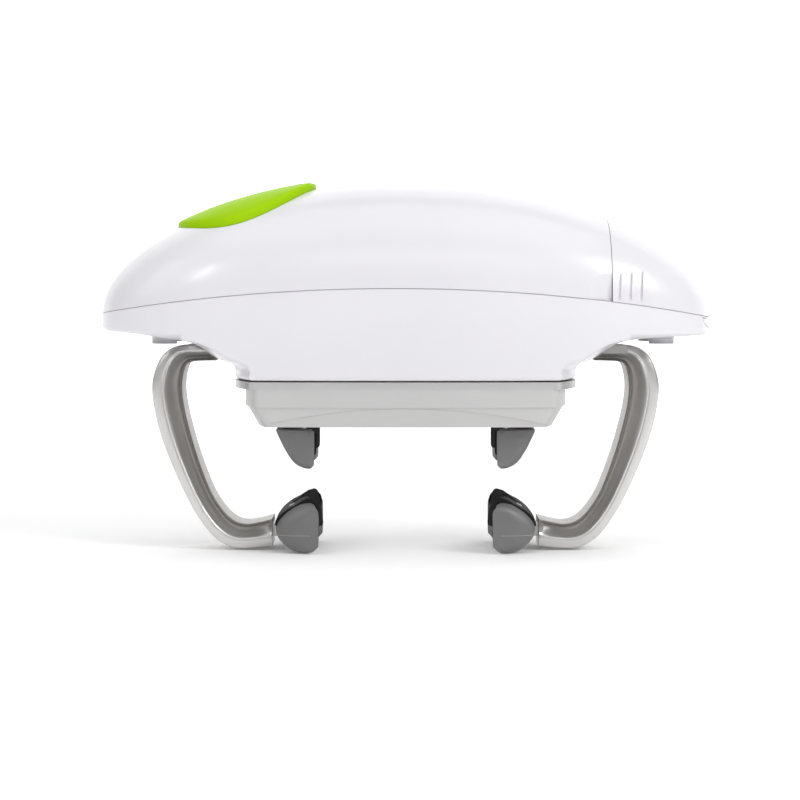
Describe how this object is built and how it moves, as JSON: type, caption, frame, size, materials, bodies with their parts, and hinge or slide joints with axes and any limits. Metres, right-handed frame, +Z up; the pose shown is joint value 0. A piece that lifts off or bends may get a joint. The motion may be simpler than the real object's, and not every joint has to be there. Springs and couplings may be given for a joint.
{
  "type": "automatic jar opener",
  "caption": "Cordless automatic jar opener: two sliding arms hold the jar while a rotating carrier with sliding jaws twists the lid off.",
  "frame": {"origin": "centre of the bounding box at the base, on the table", "axes": "+X along the body towards the battery door, +Y across the body, +Z up"},
  "size_m": [0.2092, 0.076, 0.1264],
  "materials": {
    "white_shell": "gloss",
    "green_button": "gloss",
    "silver_arm": "satin",
    "grip_grey": "matte",
    "pad_black": "matte",
    "carrier_grey": "satin",
    "flange_metal": "satin",
    "screw_steel": "plain",
    "plate_steel": "plain",
    "nylon": "matte",
    "rack_grey": "satin",
    "bronze": "plain",
    "motor_can": "plain",
    "board_green": "matte",
    "switch_black": "matte",
    "tray_grey": "matte",
    "cell_wrap": "gloss",
    "contact_nickel": "plain",
    "lead_red": "matte"
  },
  "bodies": {
    "housing": {"lower_housing": "white_shell", "upper_housing": "white_shell", "rack_guide": "nylon", "battery_tray": "tray_grey", "battery_cells": "cell_wrap", "battery_contacts": "contact_nickel", "battery_leads": "lead_red", "circuit_board": "board_green", "board_screws": "screw_steel", "power_switch": "switch_black", "button_spring": "contact_nickel", "motor": "motor_can", "gearbox_bottom_plate": "plate_steel", "gearbox_top_plate": "plate_steel", "gearbox_spacers": "screw_steel", "gearbox_screws": "screw_steel", "gear_axles": "screw_steel", "hub_bearing": "bronze", "upper_bearing": "bronze", "thrust_washer": "nylon", "housing_screws": "screw_steel", "tray_screws": "screw_steel"},
    "button": {"power_button": "green_button"},
    "door": {"battery_door": "white_shell"},
    "latch": {"door_latch": "white_shell"},
    "left_arm": {"arm_left": "silver_arm", "arm_rack_left": "rack_grey", "arm_screws_left": "screw_steel", "jar_grip_left": "grip_grey", "jar_pad_left": "pad_black"},
    "right_arm": {"arm_right": "silver_arm", "arm_rack_right": "rack_grey", "arm_screws_right": "screw_steel", "jar_grip_right": "grip_grey", "jar_pad_right": "pad_black"},
    "arm_gear": {"arm_pinion": "nylon"},
    "carrier": {"carrier_housing": "carrier_grey", "carrier_cover": "carrier_grey", "carrier_flange": "flange_metal", "carrier_screws": "screw_steel", "cover_screws": "screw_steel", "main_shaft": "screw_steel", "main_gear": "nylon", "shaft_clip": "screw_steel"},
    "second_gear": {"second_reduction_gear": "nylon"},
    "first_gear": {"first_reduction_gear": "nylon"},
    "rotor": {"motor_shaft": "screw_steel", "motor_pinion": "bronze"},
    "left_jaw": {"jaw_slider_left": "rack_grey", "lid_jaw_left": "grip_grey", "lid_pad_left": "pad_black", "jaw_screws_left": "screw_steel"},
    "right_jaw": {"jaw_slider_right": "rack_grey", "lid_jaw_right": "grip_grey", "lid_pad_right": "pad_black", "jaw_screws_right": "screw_steel"},
    "jaw_gear": {"jaw_pinion": "nylon"}
  },
  "joints": [
    {"name": "button_press", "type": "slide", "parent": "housing", "child": "button", "axis": [0, 0, -1], "range_m": [0, 0.0016], "stiffness_N_per_m": 900, "springref_m": -0.0006, "deforming": ["button_spring"]},
    {"name": "battery_door_slide", "type": "slide", "parent": "housing", "child": "door", "axis": [1, 0, 0], "range_m": [0, 0.036]},
    {"name": "door_latch_press", "type": "slide", "parent": "housing", "child": "latch", "axis": [-1, 0, 0], "range_m": [0, 0.0014], "stiffness_N_per_m": 600},
    {"name": "left_arm_slide", "type": "slide", "parent": "housing", "child": "left_arm", "axis": [-1, 0, 0], "range_m": [-0.012, 0.018]},
    {"name": "right_arm_slide", "type": "slide", "parent": "housing", "child": "right_arm", "axis": [1, 0, 0], "range_m": [-0.012, 0.018]},
    {"name": "arm_pinion_spin", "type": "hinge", "parent": "housing", "child": "arm_gear", "pos_m": [0, 0, 0.0688], "axis": [0, 0, 1], "range_deg": [-99, 148]},
    {"name": "carrier_spin", "type": "hinge", "parent": "housing", "child": "carrier", "pos_m": [0, 0, 0.057], "axis": [0, 0, 1], "continuous": true},
    {"name": "second_gear_spin", "type": "hinge", "parent": "housing", "child": "second_gear", "pos_m": [-0.02193, 0.00976, 0.08], "axis": [0, 0, 1], "continuous": true},
    {"name": "first_gear_spin", "type": "hinge", "parent": "housing", "child": "first_gear", "pos_m": [-0.01113, -0.00894, 0.084], "axis": [0, 0, 1], "continuous": true},
    {"name": "motor_spin", "type": "hinge", "parent": "housing", "child": "rotor", "pos_m": [0.00676, -0.00694, 0.095], "axis": [0, 0, 1], "continuous": true},
    {"name": "left_jaw_slide", "type": "slide", "parent": "carrier", "child": "left_jaw", "axis": [-1, 0, 0], "range_m": [-0.0155, 0.003]},
    {"name": "right_jaw_slide", "type": "slide", "parent": "carrier", "child": "right_jaw", "axis": [1, 0, 0], "range_m": [-0.0155, 0.003]},
    {"name": "jaw_pinion_spin", "type": "hinge", "parent": "carrier", "child": "jaw_gear", "pos_m": [0, 0, 0.0505], "axis": [0, 0, 1], "range_deg": [-149, 29]}
  ],
  "couplings": [
    {"joint": "right_arm_slide", "follows": "left_arm_slide", "ratio": 1},
    {"joint": "arm_pinion_spin", "follows": "left_arm_slide", "rad_per_m": 142.86},
    {"joint": "second_gear_spin", "follows": "carrier_spin", "ratio": -3},
    {"joint": "first_gear_spin", "follows": "carrier_spin", "ratio": 10.5},
    {"joint": "motor_spin", "follows": "carrier_spin", "ratio": -42},
    {"joint": "right_jaw_slide", "follows": "left_jaw_slide", "ratio": 1},
    {"joint": "jaw_pinion_spin", "follows": "left_jaw_slide", "rad_per_m": 166.67}
  ]
}
